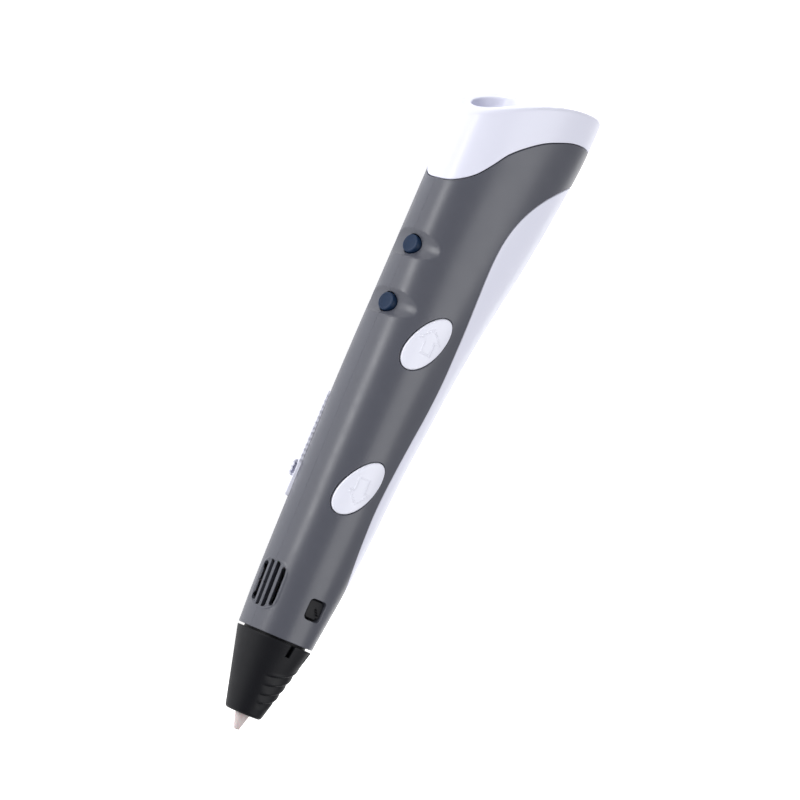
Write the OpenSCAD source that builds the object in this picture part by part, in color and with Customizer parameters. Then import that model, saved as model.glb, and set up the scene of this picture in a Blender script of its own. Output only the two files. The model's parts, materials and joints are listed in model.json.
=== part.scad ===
// Hand-held 3D drawing pen: two half shells, tail cap, belly panel, nose cone,
// heated nozzle, filament drive, cooling fan, buttons, speed slider and power jack.
// The pen lies on its speed-slider flank: X runs from the nozzle to the tail,
// Y from the belly to the spine, Z from the slider flank up to the button flank.

/* [Body] */
// Length from the nozzle tip to the end of the tail
pen_length = 184; // [183.6:0.1:184.4]
// Wall of the plastic shells
wall = 1.6; // [1.4:0.1:1.8]
// Corners of each body section
section_sides = 40; // [32:4:48]
// How far the tail face leans forward at the spine
tail_rake = 16.4; // [16:0.1:17]
// Gap between the shells, the cap and the belly panel
seam_gap = 0.1; // [0.05:0.05:0.2]

/* [Nose] */
// Radius of the nose cone at its front
cone_front_r = 4.8; // [4.6:0.1:5]
// Radius of the nose cone at its back
cone_back_r = 10.1; // [9.8:0.05:10.2]
// Outlet of the nozzle, diameter
orifice_d = 0.7; // [0.5:0.1:0.9]

/* [Filament path] */
// Bore of the inlet guide, diameter
guide_bore_d = 2.2; // [2:0.1:2.4]
// Bore of the feed tube, diameter
tube_bore_d = 2; // [1.9:0.1:2.2]
// Diameter of the filament
filament_d = 1.75; // [1.7:0.05:1.8]
// Diameter of the inlet well in the tail cap
well_d = 12; // [11.6:0.1:12.2]
// How deep the well's floor lies from the tail end
well_depth = 18; // [17.5:0.1:18.2]

/* [Buttons] */
// Length of an oval button
oval_length = 17.4; // [16.5:0.1:18]
// Width of an oval button
oval_width = 9.1; // [8.7:0.1:9.5]
// Turn of the oval buttons away from the pen's axis
oval_tilt = 28.5; // [26:0.5:30]
// Gap around an oval button
button_gap = 0.3; // [0.25:0.05:0.4]
// Diameter of a round spine button
round_d = 5; // [4.6:0.1:5.2]
// Radius of the finger scoop's section along the pen
scoop_r = 5.2; // [5:0.1:5.6]
// Depth of the finger scoop at the spine
scoop_depth = 1.6; // [1.4:0.05:1.7]

/* [Speed slider] */
// Length of the ridged scale plate
scale_length = 29; // [28:0.5:30]
// Pitch of its ridges
ridge_pitch = 1.5; // [1.4:0.1:1.6]

/* [Drive] */
// Module of the gears
gear_module = 0.5; // [0.48:0.01:0.5]
// Teeth of the pinions
pinion_teeth = 10; // [10:1:12]
// Teeth of the large gears
wheel_teeth = 30; // [28:1:30]
// Radius of the toothed feed wheel
feed_wheel_r = 4.5; // [4.3:0.1:4.6]
// Radius of the idler bearing
bearing_r = 3.5; // [3.3:0.1:3.5]

/* [Power jack] */
// Socket for the plug's sleeve, diameter
jack_bore_d = 6.4; // [6:0.1:6.6]
// Centre pin, diameter
jack_pin_d = 2; // [1.9:0.1:2.1]

/* [Hidden] */
$fn = 64;
far = 60;

// Body sections: distance from the nozzle tip, height of the spine above the filament's axis,
// depth of the belly below it, half width, and the level of the widest place.
stations = [
    [25.5, 10.1, 10.1, 10.1, 0],
    [34, 10.5, 11.8, 10.5, 0],
    [42, 10.9, 13.4, 10.7, -0.3],
    [58, 11.1, 15.6, 11.1, -0.4],
    [70, 11.3, 16.6, 11.3, -0.6],
    [80, 11.4, 17.9, 11.5, -0.8],
    [89, 11.5, 19.5, 11.7, -1],
    [97, 11.5, 20.6, 11.9, -1.5],
    [105, 11.5, 21.9, 12.1, -2.2],
    [116, 11.5, 23.8, 12.5, -4],
    [128, 11.6, 26.6, 12.8, -5.9],
    [136, 11.6, 28.6, 13.1, -7.2],
    [144, 11.5, 30.2, 13.5, -8.4],
    [160, 11.3, 33, 14, -10.4],
    [172, 11, 34.7, 14, -12],
    [190, 10.6, 35.2, 14, -13]];
// Edges between the parts of the case, as seen from the flank: distance and height
cap_edge = [[149, 13], [149, 11.4], [150.2, 9.8], [153.3, 7], [157.4, 4.4], [161.4, 1.9], [165, -1.7],
    [168.6, -6.6], [171.2, -12], [173.2, -17.5], [174.5, -24], [175, -31], [175.2, -38]];
panel_edge = [[35, -17], [37.5, -13.2], [41, -10], [46, -7.6], [53, -5.9], [63, -5], [72, -5.6], [84, -7.3],
    [93, -8.7], [102, -9.2], [111, -8.6], [124, -7.5], [135, -6.9], [143, -7.8], [150, -10.8], [156, -15.7],
    [161, -22], [164.2, -28], [165.8, -34], [166.2, -40]];
// Tail face: share of the rake, and height
tail_face = [[1.4, 17.5], [1, 11.5], [0.78, 7.2], [0.555, 1.5], [0.354, -5], [0.177, -13], [0.055, -22],
    [0, -30], [0, -40]];
chin_round = 2.5;

// Where the filament's axis lies in the pen's box: the origin is under the middle of the box.
belly_depth = 34.9;
spine_height = 11.6;
half_width = 14;

// Nose
cone_front_x = 4.3;
cone_back_x = 24.9;
body_front_x = 25.5;
hook_x = 35.2;
hook_angle = 85;
rim_notch_angles = [74, 124];
rim_notch_x = 21.8;
hook_window_size = [5.6, 5.7];
hook_window_round = 1.2;
vent_x = 37.2;
vent_slot_angles = [-18, -6, 6, 18];

// Wires to the heater: height and distance from the middle
heater_wire_at = [-4.7, 1.5];

// Buttons: place along the pen, and height towards the spine
feed_at = [108.4, 2.3];
retract_at = [67.9, 3.7];
material_x = 130.8;
power_x = 114.7;
dish_y = spine_height - scoop_depth;
scoop_sweep_r = 17.8;
button_proud = 0.35;
button_thick = wall + 0.4;
flange_top = wall + 0.3;
flange_thick = 0.8;
flange_edge = 0.9;
stem_clear = 1.7;

// Boards
board_z = 3.6;
board_thick = 1.2;
board_x = [55, 118];
board_y = [-3.5, 5.4];
switch_size = 4.4;
switch_height = 1.2;
plunger_height = 0.4;
spine_board_y = 3.2;
spine_board_x = [109, 136.5];
spine_board_z = [-4, 3.2];
spine_board_thick = 1;

// Speed slider, on the flank at this angle from the spine
slider_angle = -55;
scale_x = 59.6;
scale_half_w = 2.6;
scale_low = 8.6;
scale_top = 11.9;
ridge_height = 0.35;
ridge_start = 9.5;
knob_x = 67;
knob_length = 4.4;
knob_top = 12.8;
stem_half_w = 0.6;
slot_half_w = 0.9;

// Drive, with all axes along Z
feed_wheel_at = [144, -(feed_wheel_r + filament_d / 2)];
motor_at = [161, -14];
bearing_at = [144, bearing_r + filament_d / 2 + 0.1];
idler_pivot = [154, 4.45];
centres = gear_module * (pinion_teeth + wheel_teeth) / 2;
motor_to_drive = feed_wheel_at - motor_at;
reduction_at = motor_at + motor_to_drive / 2
    + across(motor_to_drive) * sqrt(pow(centres, 2) - pow(norm(motor_to_drive) / 2, 2));
plate_z = [-4.4, -3];
post_clear = 0.7;
inner_gear_z = [-6.6, -4.8];
outer_gear_z = [-9, -7];
pressure_angle = 25;
backlash = 0.12;
shaft_fit = 0.05;
press_gap = 0.01;
motor_r = 8;
motor_flat = 6;
motor_top = 9.3;

// Screws that hold the half shells together
boss_r = 2.2;
boss_places = [[50, 5.2], [94.6, 5.8], [128, -5], [168, -28]];
screw_r = 1;
screw_head_r = 1.9;
screw_head_z = -6;
screw_tip_z = 5.5;

// Power jack
jack_y = -20;
jack_half = 4.5;
jack_x = [169.6, 179.3];
jack_nose = 181.2;
jack_floor = 171.5;

well_y = 1.4;
well_floor = pen_length - well_depth;
guide_x = 150;
tube_x = [26, 138];

// Cooling fan, blowing towards the spine
fan_x = 65.6;
fan_y = [-8.6, -4.6];
fan_half = 7.4;

// ---- curves and sections ----

function across(v) = [-v[1], v[0]] / norm(v);
function dim(column, x) = lookup(x, [for (row = stations) [row[0], row[column]]]);
function ring(row, grow) = [for (k = [0:section_sides - 1])
    let (a = 360 * k / section_sides, y0 = row[4])
    let (reach = sin(a) >= 0 ? row[1] + grow - y0 : row[2] + grow + y0)
    [row[0], y0 + reach * sin(a), (row[3] + grow) * cos(a)]];
function skin_ratio(x, y, grow) = let (y0 = dim(4, x))
    (y - y0) / (y > y0 ? dim(1, x) + grow - y0 : dim(2, x) + grow + y0);
function skin_z(x, y, grow = 0) = (dim(3, x) + grow) * sqrt(1 - pow(skin_ratio(x, y, grow), 2));
function skin_tilt(x, y) = let (y0 = dim(4, x), reach = y > y0 ? dim(1, x) - y0 : dim(2, x) + y0)
    atan2((y - y0) / pow(reach, 2), skin_z(x, y) / pow(dim(3, x), 2));
function catmull(a, b, c, d, t) = 0.5 * (2 * b + (c - a) * t + (2 * a - 5 * b + 4 * c - d) * t * t
    + (3 * b - a - 3 * c + d) * t * t * t);
function spline(p, steps = 4) = [for (i = [1:len(p) - 3], k = [0:steps - 1])
    catmull(p[i - 1], p[i], p[i + 1], p[i + 2], k / steps)];

module pen_frame() {
    translate([-pen_length / 2, (belly_depth - spine_height) / 2, half_width]) children();
}
module along_x() {
    rotate([0, 90, 0]) children();
}
module at_angle(angle) {
    rotate([angle - 90, 0, 0]) children();
}
module on_skin(place) {
    translate([place[0], place[1], skin_z(place[0], place[1])])
        rotate([-skin_tilt(place[0], place[1]), 0, 0]) children();
}
module span_z(z) {
    translate([0, 0, z[0]]) linear_extrude(z[1] - z[0]) children();
}
module side_slab() {
    span_z([-far, far]) children();
}

module loft(grow) {
    n = section_sides;
    for (i = [0:len(stations) - 2])
        hull() polyhedron(
            points = concat(ring(stations[i], grow), ring(stations[i + 1], grow)),
            faces = [[for (k = [0:n - 1]) k], [for (k = [0:n - 1]) n + k]]);
}
module tail_profile() {
    face = spline([for (p = tail_face) [pen_length - p[0] * tail_rake, p[1]]], 5);
    offset(r = chin_round) offset(delta = -chin_round)
        polygon(concat([[0, far], [face[0][0], far]], face, [[pen_length, -far], [0, -far]]));
}
module body_block() {
    intersection() {
        loft(0);
        side_slab() tail_profile();
    }
}
module scoops(grow) {
    for (x = [material_x, power_x])
        intersection() {
            translate([x, dish_y - scoop_sweep_r, 0]) along_x() rotate_extrude($fn = 96)
                translate([scoop_sweep_r + scoop_r, 0]) circle(r = scoop_r + grow);
            translate([x - 2 * scoop_r, 0, -far]) cube([4 * scoop_r, far, 2 * far]);
        }
}
module cavity() {
    difference() {
        intersection() {
            loft(-wall);
            side_slab() offset(delta = -wall) tail_profile();
        }
        scoops(wall);
    }
    translate([20, -8, -8]) cube([8, 16, 16]);
}
module shell_skin() {
    difference() {
        body_block();
        cavity();
        scoops(0);
    }
}
module cap_area(gap) {
    edge = spline(cap_edge, 4);
    offset(delta = gap) polygon(concat([[pen_length + 10, far], [edge[0][0], far]], edge,
        [[175.1, -far], [pen_length + 10, -far]]));
}
module panel_area(gap) {
    offset(delta = gap) polygon(concat(spline(panel_edge, 4), [[166, -far], [37, -far]]));
}
module oval(grow) {
    rotate(-oval_tilt) scale([oval_length / 2 + grow, oval_width / 2 + grow]) circle(r = 1, $fn = 48);
}
module oval_hole(place) {
    on_skin(place) span_z([-5, 8]) oval(button_gap);
}
module round_hole(x) {
    translate([x, 0, 0]) rotate([-90, 0, 0]) cylinder(h = far, r = round_d / 2 + button_gap);
}
module vent_slots() {
    for (a = vent_slot_angles)
        at_angle(a) translate([vent_x, 0, 0])
            span_z([7, 14]) square([abs(a) > 10 ? 10.2 : 12, 1.1], center = true);
}
module hook_window(angle) {
    at_angle(angle) translate([hook_x, 0, 0]) span_z([6, 14])
        offset(r = hook_window_round) offset(delta = -hook_window_round)
            square(hook_window_size, center = true);
}
module slider_window() {
    at_angle(slider_angle) translate([scale_x - 0.2, -scale_half_w - 0.2, scale_low])
        cube([scale_length + 0.4, 2 * scale_half_w + 0.4, 6]);
}

// ---- case ----

module half_shell() {
    difference() {
        shell_skin();
        side_slab() cap_area(seam_gap);
        side_slab() panel_area(seam_gap);
        vent_slots();
        for (x = [material_x, power_x]) round_hole(x);
    }
}
module bosses() {
    intersection() {
        loft(-wall / 2);
        for (place = boss_places)
            translate([place[0], place[1], -far]) cylinder(h = 2 * far, r = boss_r, $fn = 32);
    }
}
module shell_button_side() color("#66686e") pen_frame() {
    difference() {
        union() {
            half_shell();
            bosses();
        }
        translate([0, -far, -2 * far]) cube([4 * far, 2 * far, 2 * far + seam_gap / 2]);
        oval_hole(feed_at);
        oval_hole(retract_at);
        hook_window(hook_angle);
        for (place = boss_places)
            translate([place[0], place[1], -1]) cylinder(h = screw_tip_z + 1.5, r = screw_r + 0.05, $fn = 24);
    }
}
module shell_slider_side() color("#66686e") pen_frame() {
    difference() {
        union() {
            half_shell();
            bosses();
        }
        translate([0, -far, -seam_gap / 2]) cube([4 * far, 2 * far, 2 * far]);
        hook_window(-hook_angle);
        slider_window();
        for (place = boss_places)
            translate([place[0], place[1], -far]) {
                cylinder(h = far + 1, r = screw_r + 0.15, $fn = 24);
                cylinder(h = far + screw_head_z, r = screw_head_r + 0.15, $fn = 24);
            }
    }
}
module tail_cap() color("#dcdff0") pen_frame() {
    difference() {
        union() {
            intersection() {
                shell_skin();
                side_slab() cap_area(-seam_gap);
            }
            intersection() {
                body_block();
                translate([well_floor - 1.5, well_y, 0]) along_x() cylinder(h = 30, r = well_d / 2 + 1.2);
            }
        }
        translate([well_floor, well_y, 0]) along_x() cylinder(h = 30, r = well_d / 2);
        translate([well_floor - 5, 0, 0]) along_x() cylinder(h = 10, r = 2.1);
        translate([jack_x[1] - 2, jack_y, 0]) along_x() cylinder(h = 30, r = 4.2);
    }
}
module belly_panel() color("#dcdff0") pen_frame() {
    intersection() {
        shell_skin();
        side_slab() panel_area(-seam_gap);
    }
}
module case_screws() color("silver") pen_frame() {
    for (place = boss_places)
        translate([place[0], place[1], 0]) {
            translate([0, 0, screw_head_z]) cylinder(h = screw_tip_z - screw_head_z, r = screw_r);
            difference() {
                translate([0, 0, screw_head_z - 1.3]) cylinder(h = 1.3, r = screw_head_r);
                translate([0, 0, screw_head_z - 1.4])
                    for (a = [0, 90]) rotate(a) translate([-1.2, -0.25, 0]) cube([2.4, 0.5, 0.8]);
            }
        }
}

// ---- nose and hot end ----

module grip_grooves() {
    groove_start = 8.2;
    groove_pitch = 2.6;
    for (side = [-1, 1], i = [0:3]) {
        x = groove_start + i * groove_pitch;
        r = cone_front_r + (x - cone_front_x) / (cone_back_x - cone_front_x) * (cone_back_r - cone_front_r);
        at_angle(side * 128) translate([x, 0, r + 0.35])
            rotate([90, 0, 0]) cylinder(h = 5 + i, r = 0.85, center = true, $fn = 24);
    }
}
module nose_cone() color("#1e1f22") pen_frame() {
    difference() {
        union() {
            along_x() rotate_extrude($fn = 96) polygon([
                [2.2, cone_front_x], [cone_front_r - 0.5, cone_front_x],
                [cone_front_r - 0.1, cone_front_x + 0.2], [cone_front_r + 0.1, cone_front_x + 0.8],
                [cone_back_r, cone_back_x], [8.4, cone_back_x], [8.4, 33], [7, 33], [7, 23],
                [4, 6.3], [2.2, 6.3]]);
            for (side = [-1, 1])
                at_angle(side * hook_angle) {
                    translate([30, -3, 7.1]) cube([8.4, 6, 0.9]);
                    translate([hook_x - 2.2, -2.5, 7.1]) cube([4.4, 5, 2.8]);
                }
        }
        grip_grooves();
        for (side = [-1, 1], a = rim_notch_angles)
            at_angle(side * a) translate([rim_notch_x, -0.5, 6]) cube([4, 1, 6]);
        for (side = [-1, 1])
            at_angle(side * hook_angle) translate([hook_x, 0.6, 9.2]) rotate(-35)
                translate([-0.5, -3.4, 0]) cube([1, 4, 2]);
    }
}
module nozzle() color("#e8d9d4") pen_frame() {
    along_x() rotate_extrude() polygon([
        [orifice_d / 2, 0], [0.65, 0], [0.8, 0.15], [1.9, 4.2], [1.9, 6.6], [2.6, 7], [2.6, 10],
        [tube_bore_d / 2, 10], [tube_bore_d / 2, 2.6], [orifice_d / 2, 1.4]]);
}
module heater_barrel() color("goldenrod") pen_frame() {
    along_x() rotate_extrude() polygon([
        [tube_bore_d / 2, 10], [2.4, 10], [2.4, 26], [tube_bore_d / 2, 26]]);
}
module heater_sleeve() color("#e9e6dd") pen_frame() {
    along_x() rotate_extrude() polygon([[2.45, 11], [3.5, 11], [3.5, 23], [2.45, 23]]);
}
module thermistor() color("#b0482f") pen_frame() {
    bead_r = 0.6;
    lead_r = 0.25;
    translate([12.5, -3.5 - bead_r, 0]) along_x() rotate_extrude() polygon([
        [0, -1], [0.4, -0.9], [bead_r, -0.4], [bead_r, 0.4], [0.4, 0.9], [lead_r, 1], [lead_r, 10], [0, 10]]);
}
module insulating_collar() color("#c9b58a") pen_frame() {
    difference() {
        along_x() rotate_extrude() polygon([
            [2.45, 24.5], [6.9, 24.5], [6.9, 31], [2.05, 31], [2.05, 26], [2.45, 26]]);
        for (side = [-1, 1])
            translate([20, heater_wire_at[0], side * heater_wire_at[1]]) along_x() cylinder(h = 20, r = 0.6);
    }
}
module feed_tube() color("#f2f2ee") pen_frame() {
    along_x() rotate_extrude($fn = 48) polygon([
        [tube_bore_d / 2, tube_x[0]], [2, tube_x[0]], [2, tube_x[1]], [tube_bore_d / 2, tube_x[1]]]);
}
module inlet_guide() color("#d8d8d8") pen_frame() {
    along_x() rotate_extrude($fn = 48) polygon([
        [guide_bore_d / 2, guide_x], [2, guide_x], [2, well_floor - 2.8], [3.8, well_floor - 2.8],
        [3.8, well_floor - 1.6], [2, well_floor - 1.6], [2, well_floor], [1.8, well_floor],
        [guide_bore_d / 2, well_floor - 1]]);
}

// ---- buttons and boards ----

module button_layer(outer, inner) {
    difference() {
        loft(outer);
        loft(inner);
    }
}
module oval_button(place) {
    intersection() {
        button_layer(button_proud, -button_thick);
        on_skin(place) span_z([-5, 8]) oval(0);
    }
    intersection() {
        button_layer(-flange_top, -flange_top - flange_thick);
        on_skin(place) span_z([-5, 8]) oval(flange_edge);
    }
    tip_z = board_z + board_thick + switch_height + plunger_height + stem_clear;
    stem_length = skin_z(place[0], place[1]) - tip_z;
    on_skin(place) translate([0, 0, -stem_length])
        cylinder(h = stem_length - flange_top, r = 1.3, $fn = 24);
}
module feed_button() color("#e4e6f2") pen_frame() {
    oval_button(feed_at);
}
module retract_button() color("#e4e6f2") pen_frame() {
    oval_button(retract_at);
}
module round_button(x) {
    low = dish_y - wall - 1.1;
    translate([x, 0, 0]) rotate([-90, 0, 0]) rotate_extrude() polygon([
        [0, low], [round_d / 2 + 0.8, low], [round_d / 2 + 0.8, low + 0.6], [round_d / 2, low + 0.6],
        [round_d / 2, dish_y], [round_d / 2 - 0.3, dish_y + 0.3], [0, dish_y + 0.4]]);
}
module material_button() color("#22395a") pen_frame() {
    round_button(material_x);
}
module power_button() color("#22395a") pen_frame() {
    round_button(power_x);
}
module main_board() color("#1f6b3a") pen_frame() {
    difference() {
        translate([board_x[0], board_y[0], board_z])
            cube([board_x[1] - board_x[0], board_y[1] - board_y[0], board_thick]);
        translate([boss_places[1][0], boss_places[1][1], board_z - 1]) cylinder(h = 4, r = boss_r + 0.4);
    }
}
module switch_with_plunger() {
    translate([-switch_size / 2, -switch_size / 2, 0]) cube([switch_size, switch_size, switch_height]);
    cylinder(h = switch_height + plunger_height, r = 1.3, $fn = 24);
}
module flank_switches() color("#2b2b2e") pen_frame() {
    for (place = [feed_at, retract_at])
        translate([place[0], place[1] - (skin_z(place[0], place[1]) - 7) * sin(skin_tilt(place[0], place[1])),
            board_z + board_thick]) switch_with_plunger();
}
module spine_board() color("#1f6b3a") pen_frame() {
    translate([spine_board_x[0], spine_board_y, spine_board_z[0]])
        cube([spine_board_x[1] - spine_board_x[0], spine_board_thick, spine_board_z[1] - spine_board_z[0]]);
}
module spine_switches() color("#2b2b2e") pen_frame() {
    for (x = [material_x, power_x])
        translate([x, spine_board_y + spine_board_thick, 0]) rotate([-90, 0, 0]) switch_with_plunger();
}

// ---- speed slider ----

module speed_scale() color("#e4e6f2") pen_frame() at_angle(slider_angle) {
    ridges = floor((scale_length - ridge_start) / ridge_pitch);
    difference() {
        union() {
            translate([scale_x, -scale_half_w, scale_low])
                cube([scale_length, 2 * scale_half_w, scale_top - scale_low]);
            translate([scale_x - 1, -scale_half_w - 1.2, scale_low - 0.7])
                cube([scale_length + 2, 2 * scale_half_w + 2.4, 0.7]);
            for (i = [0:ridges])
                translate([scale_x + ridge_start + i * ridge_pitch - ridge_pitch / 4, -scale_half_w, scale_top])
                    cube([ridge_pitch / 2, 2 * scale_half_w, ridge_height]);
        }
        translate([knob_x - 3.5, -slot_half_w, scale_low - 2]) cube([scale_length - 6, 2 * slot_half_w, 8]);
    }
}
module speed_knob() color("#e4e6f2") pen_frame() at_angle(slider_angle) {
    translate([knob_x - knob_length / 2, -scale_half_w + 0.2, scale_top + ridge_height + 0.15])
        cube([knob_length, 2 * scale_half_w - 0.4, knob_top - scale_top - ridge_height - 0.15]);
    translate([knob_x - 1.5, -stem_half_w, 7.2]) cube([3, 2 * stem_half_w, scale_top + 0.6 - 7.2]);
    for (x = [-1.3, 0, 1.3])
        translate([knob_x + x - 0.25, -scale_half_w + 0.2, knob_top]) cube([0.5, 2 * scale_half_w - 0.4, 0.4]);
}
module slide_pot() color("#8d8f92") pen_frame() at_angle(slider_angle) {
    difference() {
        translate([scale_x - 1, -2.8, 4.6]) cube([scale_length + 3, 5.6, 3]);
        translate([knob_x - 3, -slot_half_w, 6.8]) cube([scale_length - 6.5, 2 * slot_half_w, 2]);
    }
}

// ---- filament drive ----

function involute(base_r, r) = let (t = sqrt(max(0, pow(r / base_r, 2) - 1))) t * 180 / PI - atan(t);
function tooth(teeth, centre) =
    let (pitch_r = gear_module * teeth / 2, base_r = pitch_r * cos(pressure_angle))
    let (root_r = pitch_r - 1.1 * gear_module, tip_r = pitch_r + 0.8 * gear_module)
    let (half = 90 / teeth - backlash / 4 / pitch_r * 180 / PI + involute(base_r, pitch_r))
    let (start_r = max(base_r, root_r), steps = 4)
    let (flank = [for (k = [0:steps])
        let (r = start_r + (tip_r - start_r) * k / steps) [r, half - involute(base_r, r)]])
    let (side = concat([[root_r, half]], flank))
    concat([for (p = side) polar(p[0], centre - p[1])],
        [for (k = [len(side) - 1:-1:0]) polar(side[k][0], centre + side[k][1])]);
function polar(r, a) = [r * cos(a), r * sin(a)];
function bearing_of(from, to) = atan2(to[1] - from[1], to[0] - from[0]);

module gear(teeth, turn, z) {
    span_z(z) polygon([for (k = [0:teeth - 1]) each tooth(teeth, turn + 360 * k / teeth)]);
}
module at(place) {
    translate([place[0], place[1], 0]) children();
}
module chassis_outline() {
    polygon([[137, -9], [137, -2.6], [150, -2.6], [150, 1], [150, 7], [158, 7], [160, -3], [169, -6],
        [169, -18.5], [166, -23.5], [156, -23.5], [146, -19], [139, -14]]);
}
module drive_chassis() color("#3b3d42") pen_frame() {
    difference() {
        union() {
            span_z(plate_z) chassis_outline();
            for (place = [[141.5, -15], [168, -8]])
                at(place) translate([0, 0, -skin_z(place[0], place[1], -wall - post_clear)])
                    cylinder(h = skin_z(place[0], place[1], -wall - post_clear) + plate_z[1], r = 1.6);
        }
        at(feed_wheel_at) cylinder(h = 20, r = 1.5 + shaft_fit, center = true);
        at(motor_at) cylinder(h = 20, r = 2.55, center = true);
        at(reduction_at) cylinder(h = 20, r = 1, center = true);
        at(idler_pivot) cylinder(h = 20, r = 1.2, center = true);
    }
}
module motor() color("#b9bbbe") pen_frame() at(motor_at) {
    difference() {
        union() {
            intersection() {
                span_z([plate_z[1], motor_top]) circle(r = motor_r);
                span_z([plate_z[1], motor_top]) square([2 * motor_r, 2 * motor_flat], center = true);
            }
            span_z([plate_z[0], plate_z[1]]) circle(r = 2.5);
            span_z([motor_top, motor_top + 0.8]) circle(r = 2.5);
        }
        span_z([plate_z[0] - 1, 1]) circle(r = 0.75 + shaft_fit);
    }
}
module motor_shaft() color("silver") pen_frame() at(motor_at) {
    span_z([outer_gear_z[0] - 0.2, 0.5]) circle(r = 0.75);
}
module motor_pinion() color("goldenrod") pen_frame() at(motor_at) {
    difference() {
        gear(pinion_teeth, bearing_of(motor_at, reduction_at), outer_gear_z);
        span_z([-20, 0]) circle(r = 0.75 + press_gap);
    }
}
module reduction_gear() color("#efece2") pen_frame() at(reduction_at) {
    difference() {
        union() {
            gear(wheel_teeth, bearing_of(reduction_at, motor_at) + 180 / wheel_teeth, outer_gear_z);
            gear(pinion_teeth, bearing_of(reduction_at, feed_wheel_at),
                [outer_gear_z[1] - 0.1, inner_gear_z[1]]);
        }
        span_z([-20, 0]) circle(r = 1 + shaft_fit);
    }
}
module reduction_pin() color("silver") pen_frame() at(reduction_at) {
    span_z([outer_gear_z[0] - 0.2, plate_z[1]]) circle(r = 1 - press_gap);
    span_z([outer_gear_z[0] - 0.6, outer_gear_z[0] - 0.2]) circle(r = 1.7);
}
module drive_gear() color("#efece2") pen_frame() at(feed_wheel_at) {
    difference() {
        gear(wheel_teeth, bearing_of(feed_wheel_at, reduction_at) + 180 / wheel_teeth, inner_gear_z);
        span_z([-20, 0]) circle(r = 1.5 + press_gap);
    }
}
module feed_wheel() color("silver") pen_frame() at(feed_wheel_at) {
    teeth = 26;
    span_z([inner_gear_z[0] - 0.2, 2.4]) circle(r = 1.5);
    span_z([-2, 2]) polygon([for (k = [0:2 * teeth - 1])
        polar(feed_wheel_r - (k % 2) * 0.35, 180 * k / teeth)]);
}
module idler_arm() color("#3b3d42") pen_frame() {
    arm_z = [2, 3.6];
    difference() {
        union() {
            at(idler_pivot) span_z(arm_z) circle(r = 2.6);
            at(bearing_at) span_z(arm_z) circle(r = 2.6);
            span_z(arm_z) translate([bearing_at[0], idler_pivot[1] - 2])
                square([idler_pivot[0] - bearing_at[0], 4]);
            at(bearing_at) span_z([1.6, arm_z[0]]) circle(r = 2);
            at(bearing_at) span_z([-1.7, 1.6]) circle(r = 1.5 - 0.02);
        }
        at(idler_pivot) span_z([0, 6]) circle(r = 1.2 + shaft_fit);
    }
}
module idler_bearing() color("silver") pen_frame() at(bearing_at) {
    rotate_extrude() polygon([
        [1.5, -1.5], [2.1, -1.5], [2.1, -1.3], [2.9, -1.3], [2.9, -1.5], [bearing_r, -1.5],
        [bearing_r, 1.5], [2.9, 1.5], [2.9, 1.3], [2.1, 1.3], [2.1, 1.5], [1.5, 1.5]]);
}
module idler_pin() color("silver") pen_frame() at(idler_pivot) {
    span_z([plate_z[0], 4]) circle(r = 1.2 - press_gap);
    span_z([4, 4.5]) circle(r = 1.9);
}

// Tube of radius r along a route that is never parallel to Z
module tube_along(route, r, sides = 8) {
    n = len(route);
    function heading(i) = let (d = route[min(i + 1, n - 1)] - route[max(i - 1, 0)]) d / norm(d);
    function ring_at(i) = let (t = heading(i), side = cross([0, 0, 1], t), u = side / norm(side))
        let (v = cross(t, u))
        [for (k = [0:sides - 1]) route[i] + r * (cos(360 * k / sides) * u + sin(360 * k / sides) * v)];
    polyhedron(
        points = [for (i = [0:n - 1]) each ring_at(i)],
        faces = concat(
            [[for (k = [sides - 1:-1:0]) k]],
            [for (i = [0:n - 2], k = [0:sides - 1]) let (m = (k + 1) % sides)
                [i * sides + k, i * sides + m, (i + 1) * sides + m, (i + 1) * sides + k]],
            [[for (k = [0:sides - 1]) (n - 1) * sides + k]]));
}
module idler_spring() color("silver") pen_frame() at(idler_pivot) {
    coil_r = 1.85;
    turns = 5;
    low = -2.4;
    high = 1.3;
    steps = 14 * turns;
    coil = [for (k = [0:steps]) let (a = 360 * turns * k / steps)
        [coil_r * cos(a), coil_r * sin(a), low + (high - low) * k / steps]];
    tube_along(coil, 0.25, 8);
}

// ---- fan ----

module fan_frame() color("#26272a") pen_frame() {
    translate([fan_x, fan_y[0], 0]) rotate([-90, 0, 0]) {
        difference() {
            span_z([0, fan_y[1] - fan_y[0]]) square(2 * fan_half, center = true);
            span_z([-1, fan_y[1] - fan_y[0] - 0.6]) circle(r = fan_half - 0.5);
            span_z([0, 10]) difference() {
                circle(r = fan_half - 0.5);
                circle(r = 2.6);
                for (a = [0:120:240]) rotate(a) translate([0, -0.5]) square([fan_half, 1]);
            }
        }
        span_z([0.6, fan_y[1] - fan_y[0] - 0.5]) circle(r = 0.5);
    }
}
module fan_rotor() color("#2f3034") pen_frame() {
    blades = 7;
    translate([fan_x, fan_y[0], 0]) rotate([-90, 0, 0]) difference() {
        union() {
            span_z([0.3, 3]) circle(r = 2.8);
            for (k = [0:blades - 1])
                rotate(360 * k / blades) translate([2.4, 0, 1.6]) rotate([35, 0, 0])
                    translate([0, -1.3, -0.2]) cube([3.9, 2.6, 0.4]);
        }
        span_z([0.5, 5]) circle(r = 0.5 + shaft_fit);
    }
}

// ---- power jack and wires ----

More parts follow.
